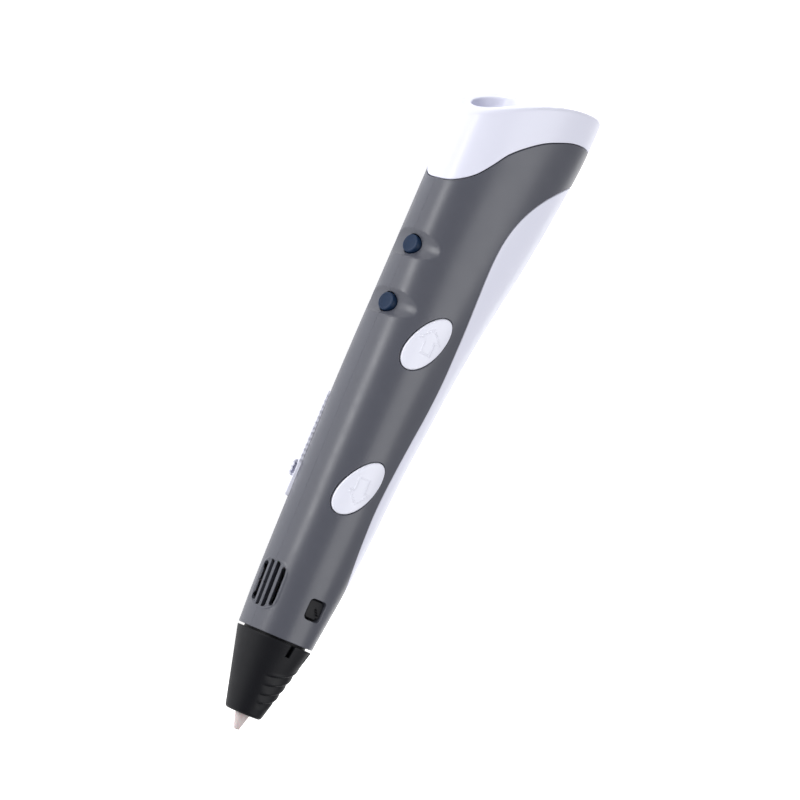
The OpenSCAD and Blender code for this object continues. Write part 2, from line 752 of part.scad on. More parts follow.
module dc_jack() color("#1a1b1d") pen_frame() {
    difference() {
        union() {
            translate([jack_x[0], jack_y - jack_half, -jack_half])
                cube([jack_x[1] - jack_x[0], 2 * jack_half, 2 * jack_half]);
            translate([jack_x[1], jack_y, 0]) along_x() cylinder(h = jack_nose - jack_x[1], r = 4);
        }
        translate([jack_floor, jack_y, 0]) along_x() cylinder(h = 20, r = jack_bore_d / 2);
        translate([jack_x[0] - 1, jack_y, 0]) along_x() cylinder(h = 5, r = 0.6);
    }
}
module dc_jack_pin() color("goldenrod") pen_frame() {
    translate([0, jack_y, 0]) along_x() rotate_extrude() polygon([
        [0, jack_x[0] - 1], [0.6 - press_gap, jack_x[0] - 1], [0.6 - press_gap, jack_floor],
        [jack_pin_d / 2, jack_floor], [jack_pin_d / 2, jack_nose - 1.4],
        [jack_pin_d / 2 - 0.5, jack_nose - 0.9], [0, jack_nose - 0.9]]);
}
module supply_wires() color("#b3202a") pen_frame() {
    for (side = [-1, 1])
        tube_along([[jack_x[0], -22.5, side * 2], [168, -22.5, side * 2], [164, -23.6, 2 + side * 1.4],
            [156, -24, 3 + side], [147, -21.8, 3.5 + side], [138, -16.5, 4 + side], [129, -11.5, 4 + side],
            [122, -7, 5 + side], [117, -3 + side, 5.7]], 0.6);
}
module heater_wires() color("#e6e6e6") pen_frame() {
    for (side = [-1, 1])
        tube_along([[23.3, heater_wire_at[0], side * heater_wire_at[1]],
            [32, heater_wire_at[0], side * heater_wire_at[1]], [39, -4.7, 0.6 + side * 1.4],
            [46, -4.4, 1.6 + side], [52, -3.4, 2.5 + side * 0.5], [56.6, -2.6 + side * 0.7, 3.1]], 0.4);
}

shell_button_side();
shell_slider_side();
tail_cap();
belly_panel();
nose_cone();
nozzle();
heater_barrel();
heater_sleeve();
thermistor();
insulating_collar();
feed_tube();
inlet_guide();
feed_button();
retract_button();
material_button();
power_button();
main_board();
flank_switches();
spine_board();
spine_switches();
speed_scale();
speed_knob();
slide_pot();
drive_chassis();
motor();
motor_shaft();
motor_pinion();
reduction_gear();
reduction_pin();
drive_gear();
feed_wheel();
idler_arm();
idler_bearing();
idler_pin();
idler_spring();
fan_frame();
fan_rotor();
dc_jack();
dc_jack_pin();
case_screws();
supply_wires();
heater_wires();
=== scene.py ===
"""The 3D pen's looks: smooth case, nose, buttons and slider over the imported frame, in the row frame."""

import json
import math

import bpy
import numpy as np
from mathutils import Matrix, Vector
from mathutils.geometry import delaunay_2d_cdt


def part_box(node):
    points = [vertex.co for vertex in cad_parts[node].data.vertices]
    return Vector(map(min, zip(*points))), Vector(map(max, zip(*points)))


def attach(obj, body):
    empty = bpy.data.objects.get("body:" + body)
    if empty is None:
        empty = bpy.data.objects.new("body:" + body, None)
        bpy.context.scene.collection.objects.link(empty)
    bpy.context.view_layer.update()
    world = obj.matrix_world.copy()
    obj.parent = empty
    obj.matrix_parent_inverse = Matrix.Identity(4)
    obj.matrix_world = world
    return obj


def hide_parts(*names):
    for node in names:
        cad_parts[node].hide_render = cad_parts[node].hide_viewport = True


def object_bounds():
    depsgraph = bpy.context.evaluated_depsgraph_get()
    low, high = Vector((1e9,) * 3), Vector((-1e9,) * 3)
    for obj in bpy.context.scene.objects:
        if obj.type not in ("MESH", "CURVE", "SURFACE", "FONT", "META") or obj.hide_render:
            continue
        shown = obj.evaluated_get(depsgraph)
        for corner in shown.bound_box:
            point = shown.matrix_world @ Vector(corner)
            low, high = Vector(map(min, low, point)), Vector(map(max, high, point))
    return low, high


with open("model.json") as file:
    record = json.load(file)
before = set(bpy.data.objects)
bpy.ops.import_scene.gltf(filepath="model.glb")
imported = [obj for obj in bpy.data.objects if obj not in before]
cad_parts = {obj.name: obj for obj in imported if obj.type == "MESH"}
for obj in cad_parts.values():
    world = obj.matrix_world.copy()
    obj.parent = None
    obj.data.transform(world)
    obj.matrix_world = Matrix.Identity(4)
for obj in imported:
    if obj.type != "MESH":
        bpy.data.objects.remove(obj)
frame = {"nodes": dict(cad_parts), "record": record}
cad_low, cad_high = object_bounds()

# ---- places, all in millimetres in the pen's own axes: X nozzle to tail, Y to the spine, Z to the button flank
MM = 0.001
NOZZLE_LOW, NOZZLE_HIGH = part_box("nozzle")
ORIGIN = np.array([NOZZLE_LOW.x, (NOZZLE_LOW.y + NOZZLE_HIGH.y) / 2, (NOZZLE_LOW.z + NOZZLE_HIGH.z) / 2])
FLOOR_Z = cad_low.z


def pen_box(node):
    """Lowest and highest corner of a CAD node in pen millimetres."""
    low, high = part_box(node)
    return (np.array(low) - ORIGIN) / MM, (np.array(high) - ORIGIN) / MM


# Body sections: distance, spine height, belly depth, half width, level of the widest place
STATIONS = np.array([
    [25.5, 10.1, 10.1, 10.1, 0], [34, 10.5, 11.8, 10.5, 0], [42, 10.9, 13.4, 10.7, -0.3],
    [58, 11.1, 15.6, 11.1, -0.4], [70, 11.3, 16.6, 11.3, -0.6], [80, 11.4, 17.9, 11.5, -0.8],
    [89, 11.5, 19.5, 11.7, -1], [97, 11.5, 20.6, 11.9, -1.5], [105, 11.5, 21.9, 12.1, -2.2],
    [116, 11.5, 23.8, 12.5, -4], [128, 11.6, 26.6, 12.8, -5.9], [136, 11.6, 28.6, 13.1, -7.2],
    [144, 11.5, 30.2, 13.5, -8.4], [160, 11.3, 33, 14, -10.4], [172, 11, 34.7, 14, -12],
    [190, 10.6, 35.2, 14, -13]])
CAP_EDGE = [[149, 13], [149, 11.4], [150.2, 9.8], [153.3, 7], [157.4, 4.4], [161.4, 1.9], [165, -1.7],
            [168.6, -6.6], [171.2, -12], [173.2, -17.5], [174.5, -24], [175, -31], [175.2, -38]]
PANEL_EDGE = [[35, -17], [37.5, -13.2], [41, -10], [46, -7.6], [53, -5.9], [63, -5], [72, -5.6], [84, -7.3],
              [93, -8.7], [102, -9.2], [111, -8.6], [124, -7.5], [135, -6.9], [143, -7.8], [150, -10.8],
              [156, -15.7], [161, -22], [164.2, -28], [165.8, -34], [166.2, -40]]
TAIL_END = pen_box("tail_cap")[1][0]
TAIL_RAKE = 16.4
TAIL_FACE = [[1.4, 17.5], [1, 11.5], [0.78, 7.2], [0.555, 1.5], [0.354, -5], [0.177, -13], [0.055, -22],
             [0, -30], [0, -40]]
BODY_FRONT = pen_box("shell_button_side")[0][0]
SEAM_GAP = 0.1
SPINE_SEAM = 0.012
WALL = 1.5
ARC = 12.0  # millimetres of a panel's flat pattern for one radian round the body
SPINE_BUTTONS = [float(sum(pen_box(n)[i][0] for i in (0, 1)) / 2) for n in ("material_button", "power_button")]
ROUND_R = 2.5
DISH_Y = 10.0
SWEEP_Y = DISH_Y - 17.8
SCOOP_R = 4.5
SCOOP_RING = 21.9
OVALS = {"feed_button": (108.4, 2.3, 1), "retract_button": (67.9, 3.7, -1)}
OVAL_HALF = (8.7, 4.55)
OVAL_TILT = math.radians(28.5)
BUTTON_GAP = 0.2
VENT = (37.15, 6.1, 4.35, 3.4)  # centre, half length, half width on the arc, corner
VENT_SLOTS = {6: 6.0, 18: 5.1}  # angle from the spine: half length
SLOT_HALF = 0.62
HOOK_X = 35.2
HOOK_ANGLE = math.radians(85)
SLIDER_ANGLE = math.radians(-55)
SCALE_X = (59.6, 88.6)
SCALE_HALF = 2.6
WELL_Y = 1.4
WELL_R = 6.0
WELL_FLOOR = 166.0
JACK_Y = -20.0
SCREWS = [(50, 5.2), (94.6, 5.8), (128, -5), (168, -28)]
CONE_X = (pen_box("nose_cone")[0][0], 24.9)
CONE_R = (4.8, 10.1)


# ---- curves

def hermite(table, column, x):
    """Smooth cubic through a column of a table, at x."""
    xs, ys = table[:, 0], table[:, column]
    slope = np.gradient(ys, xs)
    i = np.clip(np.searchsorted(xs, x) - 1, 0, len(xs) - 2)
    h = xs[i + 1] - xs[i]
    t = (x - xs[i]) / h
    return ((2 * t**3 - 3 * t**2 + 1) * ys[i] + (t**3 - 2 * t**2 + t) * h * slope[i]
            + (3 * t**2 - 2 * t**3) * ys[i + 1] + (t**3 - t**2) * h * slope[i + 1])


def spline(points, steps=10):
    """Smooth line through every point but the first and last."""
    p = np.asarray(points, float)
    line = []
    for a, b, c, d in zip(p, p[1:], p[2:], p[3:]):
        for t in np.arange(steps) / steps:
            line.append(0.5 * (2 * b + (c - a) * t + (2 * a - 5 * b + 4 * c - d) * t * t
                               + (3 * b - a - 3 * c + d) * t**3))
    return np.array(line)


def shifted(line, gap):
    """A line moved sideways by gap, to the left of its direction."""
    step = np.gradient(line, axis=0)
    step /= np.linalg.norm(step, axis=1)[:, None]
    return line + gap * np.stack([-step[:, 1], step[:, 0]], 1)


def even(points, step, closed=False):
    """Points at even steps along a line."""
    p = np.asarray(points, float)
    if closed:
        p = np.vstack([p, p[:1]])
    along = np.concatenate([[0], np.cumsum(np.linalg.norm(np.diff(p, axis=0), axis=1))])
    count = max(2, int(round(along[-1] / step)))
    at = np.linspace(0, along[-1], count + 1)
    if closed:
        at = at[:-1]
    return np.stack([np.interp(at, along, p[:, k]) for k in range(p.shape[1])], 1)


def smooth_step(x):
    x = np.clip(x, 0, 1)
    return x * x * (3 - 2 * x)


def rounded_rectangle(centre, half, corner, step=0.35):
    """Outline of a rectangle with round corners."""
    turns = np.linspace(0, math.pi / 2, 9)
    line = []
    for k, (sx, sy) in enumerate([(1, 1), (-1, 1), (-1, -1), (1, -1)]):
        for t in turns + k * math.pi / 2:
            line.append([centre[0] + sx * (half[0] - corner) + corner * math.cos(t),
                         centre[1] + sy * (half[1] - corner) + corner * math.sin(t)])
    return even(line, step, closed=True)


# ---- the skin of the body

def sizes(x):
    return [hermite(STATIONS, k, x) for k in (1, 2, 3, 4)]


def bare_skin(x, a):
    """Body surface without scoops; a is the turn from the spine towards the button flank."""
    spine, belly, half, level = sizes(x)
    reach = np.where(np.cos(a) >= 0, spine - level, belly + level)
    return np.stack([x, level + reach * np.cos(a), half * np.sin(a)], -1)


def soft_min(a, b, blend):
    h = np.clip(blend - np.abs(a - b), 0, None) / blend
    return np.minimum(a, b) - h * h * blend / 4


def skin(uv):
    """Body surface with the finger scoops and the vent's recess; uv is (distance, turn * ARC)."""
    x, a = uv[:, 0], uv[:, 1] / ARC
    p = bare_skin(x, a)
    y, z = p[:, 1] - SWEEP_Y, p[:, 2]
    rho = np.hypot(y, z)
    new = rho.copy()
    for at in SPINE_BUTTONS:
        dx = np.clip(np.abs(x - at), 0, SCOOP_R - 0.01)
        ring = SCOOP_RING - np.sqrt(SCOOP_R**2 - dx**2)
        cut = soft_min(new, ring, 0.16)
        new = np.where((np.abs(x - at) < SCOOP_R - 0.02) & (p[:, 1] > 0), cut, new)
    p[:, 1] = SWEEP_Y + y * new / rho
    p[:, 2] = z * new / rho
    near = np.hypot(p[:, 1], p[:, 2])
    q = np.stack([np.abs(x - VENT[0]) - VENT[1] + VENT[3], np.abs(a) * 10.7 - VENT[2] + VENT[3]], -1)
    edge = np.linalg.norm(np.clip(q, 0, None), axis=1) + np.minimum(q.max(1), 0) - VENT[3]
    lift = -0.35 * smooth_step(-(edge + 0.05) / 0.3) + 0.1 * np.exp(-((edge - 0.25) / 0.25) ** 2)
    p[:, 1] *= 1 + lift / near
    p[:, 2] *= 1 + lift / near
    return p


def turn_at(x, y, flank=1):
    """uv turn of the place on a flank at distance x and height y."""
    spine, belly, half, level = sizes(x)
    reach = np.where(y >= level, spine - level, belly + level)
    return flank * np.arccos(np.clip((y - level) / reach, -1, 1))


def pierce(start, direction, low, high):
    """uv where lines from start leave the bare body."""
    start = np.asarray(start, float)
    direction = np.asarray(direction, float)
    low, high = np.full(len(start), float(low)), np.full(len(start), float(high))
    for _ in range(40):
        mid = (low + high) / 2
        p = start + mid[:, None] * direction
        spine, belly, half, level = sizes(p[:, 0])
        reach = np.where(p[:, 1] >= level, spine - level, belly + level)
        out = ((p[:, 1] - level) / reach) ** 2 + (p[:, 2] / half) ** 2 > 1
        high = np.where(out, mid, high)
        low = np.where(out, low, mid)
    turn = np.arctan2(p[:, 2] / half, (p[:, 1] - level) / reach)
    return np.stack([p[:, 0], turn * ARC], 1), low


def radial(angle):
    return np.array([0, math.cos(angle), math.sin(angle)])


def sideways(angle):
    return np.array([0, math.sin(angle), -math.cos(angle)])


def belly_crossings(line):
    """Where a line in (distance, height) leaves the body at the belly: the part of it inside."""
    depth = hermite(STATIONS, 2, line[:, 0])
    inside = line[:, 1] > -depth
    first, last = np.argmax(inside), len(inside) - 1 - np.argmax(inside[::-1])

    def meet(i, j):
        a, b = line[i, 1] + depth[i], line[j, 1] + depth[j]
        return line[i] + (line[j] - line[i]) * a / (a - b)

    parts = [line[first:last + 1]]
    if first > 0:
        parts.insert(0, meet(first - 1, first)[None])
    if last < len(line) - 1:
        parts.append(meet(last, last + 1)[None])
    return np.vstack(parts)


def flank_line(line, flank):
    """uv of a line given as (distance, height) on a flank."""
    dense = even(line, 0.25)
    return np.stack([dense[:, 0], turn_at(dense[:, 0], dense[:, 1], flank) * ARC], 1)


# ---- solids

class Solid:
    """One closed surface, gathered from blocks whose edges meet and are welded."""

    def __init__(self):
        self.points, self.normals, self.faces, self.count = [], [], [], 0

    def add(self, points, faces, normals=None):
        points = np.asarray(points, float).reshape(-1, 3)
        normals = np.zeros_like(points) if normals is None else np.asarray(normals, float).reshape(-1, 3)
        self.points.append(points)
        self.normals.append(normals)
        self.faces += [tuple(int(i) + self.count for i in f) for f in faces]
        self.count += len(points)
        return self

    def welded(self):
        points, normals = np.vstack(self.points), np.vstack(self.normals)
        keys = np.round((points + 0.000137) / 0.0005).astype(np.int64)
        _, first, same = np.unique(keys, axis=0, return_index=True, return_inverse=True)
        same = same.reshape(-1)
        faces, corners = [], []
        for f in self.faces:
            ids, loop = [], []
            for i in f:
                if same[i] not in ids:
                    ids.append(int(same[i]))
                    loop.append(i)
            if len(ids) > 2:
                faces.append(ids)
                corners.append(loop)
        kept = points[first]
        volume = sum(np.dot(kept[f[0]], np.cross(kept[f[k]], kept[f[k + 1]]))
                     for f in faces for k in range(1, len(f) - 1))
        if volume < 0:
            faces, corners = [f[::-1] for f in faces], [c[::-1] for c in corners]
        return kept, faces, [normals[i] for c in corners for i in c]


def strip(rows, closed=True):
    """Faces between rows of points laid one after the other."""
    rows_count, n = rows
    faces = []
    for r in range(rows_count - 1):
        for i in range(n if closed else n - 1):
            j = (i + 1) % n
            faces.append((r * n + i, r * n + j, (r + 1) * n + j, (r + 1) * n + i))
    return faces


def build(name, solids, material, body, nodes):
    """One piece from closed solids, riding on a body and standing for CAD nodes."""
    points, faces, normals, base = [], [], [], 0
    for solid in solids:
        p, f, n = solid.welded()
        points.append(p)
        faces += [[i + base for i in face] for face in f]
        normals += n
        base += len(p)
    mesh = bpy.data.meshes.new(name)
    mesh.from_pydata([tuple(p) for p in ORIGIN + np.vstack(points) * MM], [], faces)
    mesh.polygons.foreach_set("use_smooth", [True] * len(mesh.polygons))
    mesh.set_sharp_from_angle(angle=math.radians(40))
    mesh.normals_split_custom_set([tuple(n) for n in normals])
    mesh.validate()
    piece = bpy.data.objects.new(name, mesh)
    bpy.context.scene.collection.objects.link(piece)
    mesh.materials.append(material)
    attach(piece, body)
    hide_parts(*nodes)
    return piece


def area(loop):
    x, y = loop[:, 0], loop[:, 1]
    return 0.5 * np.sum(x * np.roll(y, -1) - np.roll(x, -1) * y)


def within(loops, points):
    """Which points lie inside the outline and outside the holes."""
    inside = np.zeros(len(points), bool)
    for loop in loops:
        nxt = np.roll(loop, -1, 0)
        for (x1, y1), (x2, y2) in zip(loop, nxt):
            if y1 == y2:
                continue
            crosses = (y1 > points[:, 1]) != (y2 > points[:, 1])
            inside ^= crosses & (points[:, 0] < (x2 - x1) * (points[:, 1] - y1) / (y2 - y1) + x1)
    return inside


def clear_of(loops, points, gap):
    """Points further than gap from every loop vertex."""
    keep = np.ones(len(points), bool)
    for loop in loops:
        for start in range(0, len(loop), 200):
            d = np.linalg.norm(points[:, None] - loop[None, start:start + 200], axis=2)
            keep &= d.min(1) > gap
    return keep


def lattice(low, high, step):
    """Points of a triangular lattice in a box."""
    rows = np.arange(low[1], high[1], step * 0.866)
    cols = np.arange(low[0], high[0], step)
    x = cols[None, :] + (np.arange(len(rows)) % 2)[:, None] * step / 2
    y = np.repeat(rows[:, None], len(cols), 1)
    return np.stack([x.ravel(), y.ravel()], 1)


def derivatives(surface, uv):
    e = 0.002
    du = (surface(uv + [e, 0]) - surface(uv - [e, 0])) / (2 * e)
    dv = (surface(uv + [0, e]) - surface(uv - [0, e])) / (2 * e)
    return du, dv


def normal_of(surface, uv, out):
    du, dv = derivatives(surface, uv)
    n = np.cross(du, dv) * out
    return n / np.linalg.norm(n, axis=1)[:, None]


def inset(surface, loop, by):
    """The loop moved by a distance on the surface, towards the material on its left."""
    du, dv = derivatives(surface, loop)
    p = surface(loop)
    along = np.roll(p, -1, 0) - np.roll(p, 1, 0)
    left = np.cross(np.cross(du, dv), along)
    left *= (by / np.linalg.norm(left, axis=1))[:, None]
    uu, uw, ww = (du * du).sum(1), (du * dv).sum(1), (dv * dv).sum(1)
    a, b = (left * du).sum(1), (left * dv).sum(1)
    det = uu * ww - uw * uw
    return loop + np.stack([(a * ww - b * uw) / det, (b * uu - a * uw) / det], 1)


def sheet(surface, outline, holes, thick, fillet, out, grid, fine=(), steps=3):
    """A curved plate with a rounded edge: surface maps its flat pattern, out is the side its face is on."""
    loops = [outline if area(outline) > 0 else outline[::-1]]
    loops += [h if area(h) < 0 else h[::-1] for h in holes]
    rounding = [fillet(loop) if callable(fillet) else np.full(len(loop), fillet) for loop in loops]
    inner = [inset(surface, loop, r) for loop, r in zip(loops, rounding)]
    low, high = loops[0].min(0), loops[0].max(0)
    seeds = lattice(low, high, grid)
    for box_low, box_high, step in fine:
        seeds = seeds[~((seeds > np.array(box_low)) & (seeds < np.array(box_high))).all(1)]
        seeds = np.vstack([seeds, lattice(box_low, box_high, step)])
    steps_at = np.full(len(seeds), 0.3)
    seeds = seeds[within(inner, seeds)]
    seeds = seeds[clear_of(inner, seeds, steps_at[0])]
    flat = np.vstack(inner + [seeds])
    edges, at = [], 0
    for loop in inner:
        n = len(loop)
        edges += [(at + i, at + (i + 1) % n) for i in range(n)]
        at += n
    got = delaunay_2d_cdt([tuple(p) for p in flat], edges, [], 0, 1e-7)
    uv, tris, origin = np.array([tuple(v) for v in got[0]]), got[2], got[3]
    middle = np.array([uv[list(t)].mean(0) for t in tris])
    keep = within(inner, middle)
    tris = [t for t, k in zip(tris, keep) if k]
    tris = [t if area(uv[list(t)]) > 0 else t[::-1] for t in tris]
    top, top_n = surface(uv), normal_of(surface, uv, out)
    ends = np.vstack(loops)
    outer_n = normal_of(surface, ends, out)
    low_points = top - thick * top_n
    for new, olds in enumerate(origin):
        if len(olds) and olds[0] < len(ends):
            low_points[new] = surface(ends[olds[0]][None])[0] - thick * outer_n[olds[0]]
    solid = Solid().add(top, tris, top_n).add(low_points, [t[::-1] for t in tris], -top_n)
    at = 0
    for loop, ring, r in zip(loops, inner, rounding):
        n = len(loop)
        start, full = surface(ring), surface(loop)
        normal = outer_n[at:at + n]
        side = full - start
        side /= np.linalg.norm(side, axis=1)[:, None]
        rows, rows_n = [], []
        for k in range(steps + 1):
            turn = math.pi / 2 * k / steps
            rows.append(start + (full - start) * math.sin(turn) - (r * (1 - math.cos(turn)))[:, None] * normal)
            rows_n.append(normal * math.cos(turn) + side * math.sin(turn))
        rows_n[0] = normal_of(surface, ring, out)
        solid.add(np.vstack(rows), [f[::-1] for f in strip((steps + 1, n))], np.vstack(rows_n))
        wall = np.vstack([rows[-1], full - thick * normal])
        solid.add(wall, [f[::-1] for f in strip((2, n))], np.vstack([side, side]))
        at += n
    return solid


def lathe(profile, sides=64, axis="x", centre=(0, 0, 0)):
    """Closed solid of revolution from a closed profile of (radius, distance)."""
    profile = np.asarray(profile, float)
    turns = np.linspace(0, 2 * math.pi, sides, endpoint=False)
    rows = []
    for r, x in profile:
        ring = np.stack([np.full(sides, x), r * np.cos(turns), r * np.sin(turns)], 1)
        rows.append(ring[:, [1, 0, 2]] * [1, 1, -1] if axis == "y" else ring)
    points = np.vstack(rows + [rows[0]]) + np.array(centre)
    return Solid().add(points, strip((len(rows) + 1, sides)))


def rounded_box(low, high, corner, place=None, steps=3):
    """Closed box with rounded edges: a cube grid pushed out from an inner box."""
    low, high = np.array(low, float), np.array(high, float)
    ticks = np.concatenate([-np.cos(np.linspace(0, math.pi / 2, steps + 1)), np.cos(np.linspace(math.pi / 2, 0, steps + 1))])
    ticks = np.concatenate([np.linspace(-1, -1e-3, steps + 1), np.linspace(1e-3, 1, steps + 1)])
    solid = Solid()
    n = len(ticks)
    for axis in range(3):
        for side in (-1.0, 1.0):
            u, v = np.meshgrid(ticks, ticks, indexing="ij")
            cube = np.zeros((n * n, 3))
            cube[:, axis] = side
            cube[:, (axis + 1) % 3] = u.ravel()
            cube[:, (axis + 2) % 3] = v.ravel()
            tilt = np.tan(cube * math.pi / 4)
            ball = tilt / np.linalg.norm(tilt, axis=1)[:, None]
            core = np.where(cube > 0, high - corner, low + corner)
            p = core + corner * ball
            faces = strip((n, n), closed=False)
            if side < 0:
                faces = [f[::-1] for f in faces]
            solid.add(p if place is None else place(p), faces)
    return solid


# ---- materials

def nodes_for(name):
    material = bpy.data.materials.new(name)
    material.use_nodes = True
    tree = material.node_tree
    shader = next(n for n in tree.nodes if n.type == "BSDF_PRINCIPLED")
    where = tree.nodes.new("ShaderNodeTexCoord")
    return material, tree, shader, where.outputs["Object"]


def noise(tree, where, scale, detail=3.0, stretch=None):
    """Grey noise in object space; stretch slows it along an axis."""
    if stretch:
        mapping = tree.nodes.new("ShaderNodeMapping")
        mapping.inputs["Scale"].default_value = stretch
        tree.links.new(where, mapping.inputs["Vector"])
        where = mapping.outputs["Vector"]
    texture = tree.nodes.new("ShaderNodeTexNoise")
    texture.inputs["Scale"].default_value = scale
    texture.inputs["Detail"].default_value = detail
    tree.links.new(where, texture.inputs["Vector"])
    return texture.outputs["Fac"]


def ramp(tree, value, low, high):
    """A number that varies from low to high with a noise value."""
    node = tree.nodes.new("ShaderNodeMapRange")
    node.inputs["From Min"].default_value = 0.3
    node.inputs["From Max"].default_value = 0.7
    node.inputs["To Min"].default_value = low
    node.inputs["To Max"].default_value = high
    tree.links.new(value, node.inputs["Value"])
    return node.outputs["Result"]


def tint(tree, value, colour, change):
    """A colour that varies by a share of itself with a noise value."""
    mix = tree.nodes.new("ShaderNodeMix")
    mix.data_type = "RGBA"
    tree.links.new(value, mix.inputs["Factor"])
    mix.inputs["A"].default_value = (*[c * (1 - change) for c in colour], 1)
    mix.inputs["B"].default_value = (*[min(1, c * (1 + change)) for c in colour], 1)
    return mix.outputs["Result"]


def bump(tree, shader, value, height):
    node = tree.nodes.new("ShaderNodeBump")
    node.inputs["Strength"].default_value = 1.0
    node.inputs["Distance"].default_value = height
    tree.links.new(value, node.inputs["Height"])
    tree.links.new(node.outputs["Normal"], shader.inputs["Normal"])


def plastic(name, colour, rough, grain=0.0, grain_scale=4000, change=0.04, coat=0.0, glow=0.0, specular=0.5):
    """Moulded plastic: slightly uneven colour and gloss, with the mould's fine grain."""
    material, tree, shader, where = nodes_for(name)
    cloud = noise(tree, where, 60)
    tree.links.new(tint(tree, cloud, colour, change), shader.inputs["Base Color"])
    tree.links.new(ramp(tree, noise(tree, where, 220, 5), rough * 0.9, rough * 1.1), shader.inputs["Roughness"])
    shader.inputs["Coat Weight"].default_value = coat
    shader.inputs["Coat Roughness"].default_value = 0.08
    shader.inputs["Specular IOR Level"].default_value = specular
    if glow:
        shader.inputs["Subsurface Weight"].default_value = glow
        shader.inputs["Subsurface Scale"].default_value = 0.002
    if grain:
        bump(tree, shader, noise(tree, where, grain_scale, 2), grain * MM)
    return material


def metal(name, colour, rough, stretch=(1, 1, 1)):
    """Metal with fine machining marks drawn out along one way."""
    material, tree, shader, where = nodes_for(name)
    marks = noise(tree, where, 2500, 4, stretch)
    tree.links.new(tint(tree, marks, colour, 0.08), shader.inputs["Base Color"])
    tree.links.new(ramp(tree, marks, rough * 0.75, rough * 1.25), shader.inputs["Roughness"])
    shader.inputs["Metallic"].default_value = 1.0
    bump(tree, shader, marks, 0.004 * MM)
    return material


def laminate(name, colour):
    """Circuit board: solder mask with faint tracks under it."""
    material, tree, shader, where = nodes_for(name)
    tracks = tree.nodes.new("ShaderNodeTexBrick")
    tracks.inputs["Scale"].default_value = 300
    tracks.inputs["Color1"].default_value = (*colour, 1)
    tracks.inputs["Color2"].default_value = (*[c * 0.8 for c in colour], 1)
    tracks.inputs["Mortar"].default_value = (*[c * 1.5 + 0.01 for c in colour], 1)
    tree.links.new(where, tracks.inputs["Vector"])
    tree.links.new(tracks.outputs["Color"], shader.inputs["Base Color"])
    tree.links.new(ramp(tree, noise(tree, where, 400), 0.25, 0.4), shader.inputs["Roughness"])
    bump(tree, shader, tracks.outputs["Fac"], 0.01 * MM)
    return material


def make_materials():
    """One finish for each of the record's material slots."""
    return {
        "grey_shell": plastic("grey_shell", (0.087, 0.091, 0.114), 0.34, 0.004, 5000, 0.03, specular=0.5),
        "white_gloss": plastic("white_gloss", (0.78, 0.79, 0.92), 0.38, 0.001, 1500, 0.01, coat=0.1),
        "black_cone": plastic("black_cone", (0.0062, 0.0066, 0.0092), 0.5, 0.01, 4500, 0.08, specular=0.2),
        "ceramic": plastic("ceramic", (0.66, 0.57, 0.57), 0.55, 0.01, 3500, 0.05, glow=0.1),
        "brass": metal("brass", (0.72, 0.52, 0.24), 0.3, (0.1, 1, 1)),
        "heater_ceramic": plastic("heater_ceramic", (0.82, 0.8, 0.74), 0.7, 0.015, 3000, 0.05),
        "thermistor_bead": plastic("thermistor_bead", (0.45, 0.08, 0.04), 0.2, 0.002, 3000, 0.1, coat=0.6),
        "peek": plastic("peek", (0.58, 0.45, 0.26), 0.45, 0.006, 3000, 0.06),
        "ptfe": plastic("ptfe", (0.88, 0.88, 0.86), 0.4, 0.004, 2000, 0.02, glow=0.2),
        "white_button": plastic("white_button", (0.82, 0.83, 0.94), 0.35, 0.002, 3000, 0.01),
        "navy_button": plastic("navy_button", (0.008, 0.024, 0.062), 0.4, 0.004, 4000, 0.06, specular=0.2),
        "circuit_board": laminate("circuit_board", (0.03, 0.16, 0.07)),
        "black_plastic": plastic("black_plastic", (0.03, 0.03, 0.035), 0.45, 0.006, 3500, 0.08),
        "steel": metal("steel", (0.62, 0.62, 0.64), 0.28, (0.15, 1, 1)),
        "natural_gear": plastic("natural_gear", (0.85, 0.83, 0.75), 0.4, 0.004, 3000, 0.03, glow=0.1),
        "red_wire": plastic("red_wire", (0.5, 0.02, 0.03), 0.35, 0.004, 2500, 0.06),
        "white_wire": plastic("white_wire", (0.82, 0.82, 0.8), 0.4, 0.004, 2500, 0.04),
    }


def finish_cad_nodes(materials):
    """The CAD nodes that stay in sight take the same finishes."""
    for part in frame["record"]["subparts"]:
        node = frame["nodes"][part["node"]]
        node.data.materials.clear()
        node.data.materials.append(materials[part["material_slot"]])


# ---- case

def oval_frame(place):
    """Middle, axes along and across, and outward direction of an oval button."""
    x, y, way = place
    uv = np.array([[x, float(turn_at(np.array([x]), np.array([y]))[0]) * ARC]])
    centre = skin(uv)[0]
    out = normal_of(skin, uv, -1)[0]
    out = np.array([0, out[1], out[2]]) / np.hypot(out[1], out[2])
    up = np.cross(out, [1, 0, 0])
    return centre, np.array([1.0, 0, 0]), up, out


def oval_outline(grow, step=0.35):
    turns = np.linspace(0, 2 * math.pi, 240, endpoint=False)
    u, v = (OVAL_HALF[0] + grow) * np.cos(turns), (OVAL_HALF[1] + grow) * np.sin(turns)
    c, s = math.cos(-OVAL_TILT), math.sin(-OVAL_TILT)
    return even(np.stack([c * u - s * v, s * u + c * v], 1), step, closed=True)


def oval_hole(place):
    centre, along, across, out = oval_frame(place)
    line = oval_outline(BUTTON_GAP)
    start = centre + line[:, :1] * along + line[:, 1:] * across
    return pierce(start, out, -4, 4)[0]


def polar_hole(angle, outline):
    """uv of a window cut straight in at an angle from the spine."""
    start = np.stack([outline[:, 0], 0 * outline[:, 0], 0 * outline[:, 0]], 1) + outline[:, 1:] * sideways(angle)
    return pierce(start, radial(angle), 4, 20)[0]


